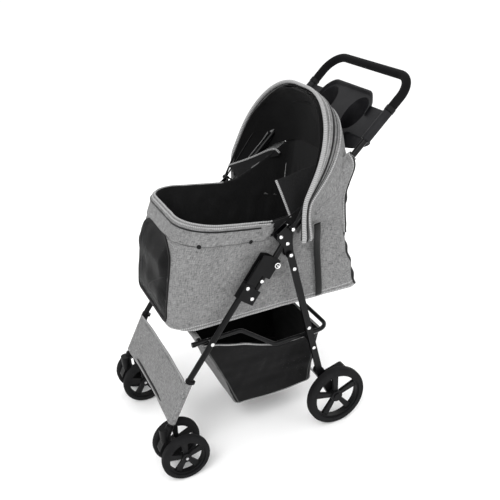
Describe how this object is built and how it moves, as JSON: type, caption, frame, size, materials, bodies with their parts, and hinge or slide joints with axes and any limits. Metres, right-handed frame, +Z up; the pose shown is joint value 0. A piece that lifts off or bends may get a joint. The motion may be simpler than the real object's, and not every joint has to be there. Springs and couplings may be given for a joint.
{
  "type": "pet stroller",
  "caption": "Folding pet stroller with an open fabric cabin and tilting hood, front mesh window, cup tray, foam push bar, hanging basket and swivel casters.",
  "frame": {"origin": "on the floor, under the middle of the object's bounding box", "axes": "-Y is the direction of travel, +X is the stroller's left, +Z is up"},
  "size_m": [0.486, 0.8168, 0.963],
  "materials": {
    "coated_steel": "satin black powder coat",
    "rivet_zinc": "bright zinc",
    "black_nylon": "moulded, fine grain",
    "tray_pp": "moulded, matt",
    "rim_pp": "moulded",
    "tyre_eva": "matt",
    "grip_foam": "closed-cell foam skin",
    "linen_grey": "heathered woven polyester",
    "mesh_black": "knitted mesh",
    "basket_mesh": "mesh and woven panels",
    "floor_hdpe": "sheet",
    "pad_fleece": "quilted"
  },
  "bodies": {
    "front_frame": {"front_leg_left": "coated_steel", "front_leg_right": "coated_steel", "front_crossbar": "coated_steel", "footrest_panel": "linen_grey", "sleeve_stops": "black_nylon", "caster_socket_left": "black_nylon", "caster_socket_right": "black_nylon", "latch_bracket_left": "black_nylon", "latch_bracket_right": "black_nylon", "frame_rivets": "rivet_zinc", "carrier_bag": "linen_grey", "window_mesh": "mesh_black", "rim_frame": "coated_steel", "floor_board": "floor_hdpe", "floor_pad": "pad_fleece"},
    "handle_frame": {"handle_tube": "coated_steel", "handle_grip": "grip_foam", "grip_collars": "black_nylon", "parent_tray": "tray_pp", "joint_plate_left": "coated_steel", "joint_plate_right": "coated_steel", "joint_rivets": "rivet_zinc", "canopy_hood": "linen_grey"},
    "latch_left": {"latch_slider_left": "black_nylon", "latch_ring_left": "rivet_zinc"},
    "latch_right": {"latch_slider_right": "black_nylon", "latch_ring_right": "rivet_zinc"},
    "canopy_front": {"canopy_hoop_front": "coated_steel"},
    "canopy_mid": {"canopy_hoop_mid": "coated_steel"},
    "rear_frame": {"rear_leg_left": "coated_steel", "rear_leg_right": "coated_steel", "basket_brackets": "black_nylon", "rear_leg_rivets": "rivet_zinc", "brake_housing_left": "black_nylon", "brake_housing_right": "black_nylon", "rear_axle": "rivet_zinc", "axle_caps": "black_nylon"},
    "brake_left": {"brake_pedal_left": "black_nylon"},
    "brake_right": {"brake_pedal_right": "black_nylon"},
    "rear_wheel_left": {"rear_rim_left": "rim_pp", "rear_tyre_left": "tyre_eva"},
    "rear_wheel_right": {"rear_rim_right": "rim_pp", "rear_tyre_right": "tyre_eva"},
    "caster_left": {"caster_fork_left": "black_nylon", "caster_axle_left": "rivet_zinc"},
    "caster_right": {"caster_fork_right": "black_nylon", "caster_axle_right": "rivet_zinc"},
    "basket": {"basket_frame": "coated_steel", "basket_frame_caps": "black_nylon", "basket_crossbar": "coated_steel", "basket_fabric": "basket_mesh"},
    "front_wheel_outer_left": {"front_rim_outer_left": "rim_pp", "front_tyre_outer_left": "tyre_eva"},
    "front_wheel_outer_right": {"front_rim_outer_right": "rim_pp", "front_tyre_outer_right": "tyre_eva"},
    "front_wheel_inner_left": {"front_rim_inner_left": "rim_pp", "front_tyre_inner_left": "tyre_eva"},
    "front_wheel_inner_right": {"front_rim_inner_right": "rim_pp", "front_tyre_inner_right": "tyre_eva"}
  },
  "joints": [
    {"name": "handle_fold", "type": "hinge", "parent": "front_frame", "child": "handle_frame", "pos_m": [0, -0.10103, 0.46812], "axis": [-1, 0, 0], "range_deg": [0, 140], "deforming": ["carrier_bag", "basket_fabric", "floor_pad"]},
    {"name": "rear_leg_fold", "type": "hinge", "parent": "handle_frame", "child": "rear_frame", "pos_m": [0, 0.0136, 0.566], "axis": [1, 0, 0], "range_deg": [0, 99.2]},
    {"name": "basket_fold", "type": "hinge", "parent": "front_frame", "child": "basket", "pos_m": [0, -0.2201, 0.3664], "axis": [-1, 0, 0], "range_deg": [0, 84.6]},
    {"name": "latch_slide_left", "type": "slide", "parent": "handle_frame", "child": "latch_left", "axis": [0, 0.632, 0.7749], "range_m": [0, 0.018]},
    {"name": "latch_slide_right", "type": "slide", "parent": "handle_frame", "child": "latch_right", "axis": [0, 0.632, 0.7749], "range_m": [0, 0.018]},
    {"name": "canopy_tilt", "type": "hinge", "parent": "handle_frame", "child": "canopy_front", "pos_m": [0, 0.0186, 0.642], "axis": [1, 0, 0], "range_deg": [0, 100], "deforming": ["canopy_hood"]},
    {"name": "canopy_mid_tilt", "type": "hinge", "parent": "handle_frame", "child": "canopy_mid", "pos_m": [0, 0.0186, 0.642], "axis": [1, 0, 0], "range_deg": [0, 50]},
    {"name": "brake_press_left", "type": "hinge", "parent": "rear_frame", "child": "brake_left", "pos_m": [0.19, 0.104, 0.126], "axis": [-1, 0, 0], "range_deg": [0, 18]},
    {"name": "rear_wheel_spin_left", "type": "hinge", "parent": "rear_frame", "child": "rear_wheel_left", "pos_m": [0.2295, 0.1216, 0.09], "axis": [1, 0, 0], "continuous": true},
    {"name": "caster_swivel_left", "type": "hinge", "parent": "front_frame", "child": "caster_left", "pos_m": [0.19, -0.3784, 0.118], "axis": [0, 0, 1], "continuous": true},
    {"name": "front_wheel_spin_outer_left", "type": "hinge", "parent": "caster_left", "child": "front_wheel_outer_left", "pos_m": [0.23, -0.3412, 0.0675], "axis": [1, 0, 0], "continuous": true},
    {"name": "front_wheel_spin_inner_left", "type": "hinge", "parent": "caster_left", "child": "front_wheel_inner_left", "pos_m": [0.15, -0.3412, 0.0675], "axis": [1, 0, 0], "continuous": true},
    {"name": "brake_press_right", "type": "hinge", "parent": "rear_frame", "child": "brake_right", "pos_m": [-0.19, 0.104, 0.126], "axis": [-1, 0, 0], "range_deg": [0, 18]},
    {"name": "rear_wheel_spin_right", "type": "hinge", "parent": "rear_frame", "child": "rear_wheel_right", "pos_m": [-0.2295, 0.1216, 0.09], "axis": [1, 0, 0], "continuous": true},
    {"name": "caster_swivel_right", "type": "hinge", "parent": "front_frame", "child": "caster_right", "pos_m": [-0.19, -0.3784, 0.118], "axis": [0, 0, 1], "continuous": true},
    {"name": "front_wheel_spin_outer_right", "type": "hinge", "parent": "caster_right", "child": "front_wheel_outer_right", "pos_m": [-0.23, -0.3412, 0.0675], "axis": [1, 0, 0], "continuous": true},
    {"name": "front_wheel_spin_inner_right", "type": "hinge", "parent": "caster_right", "child": "front_wheel_inner_right", "pos_m": [-0.15, -0.3412, 0.0675], "axis": [1, 0, 0], "continuous": true}
  ],
  "couplings": [
    {"joint": "rear_leg_fold", "follows": "handle_fold", "ratio": 0.708},
    {"joint": "basket_fold", "follows": "handle_fold", "ratio": 0.6036},
    {"joint": "canopy_mid_tilt", "follows": "canopy_tilt", "ratio": 0.5}
  ]
}
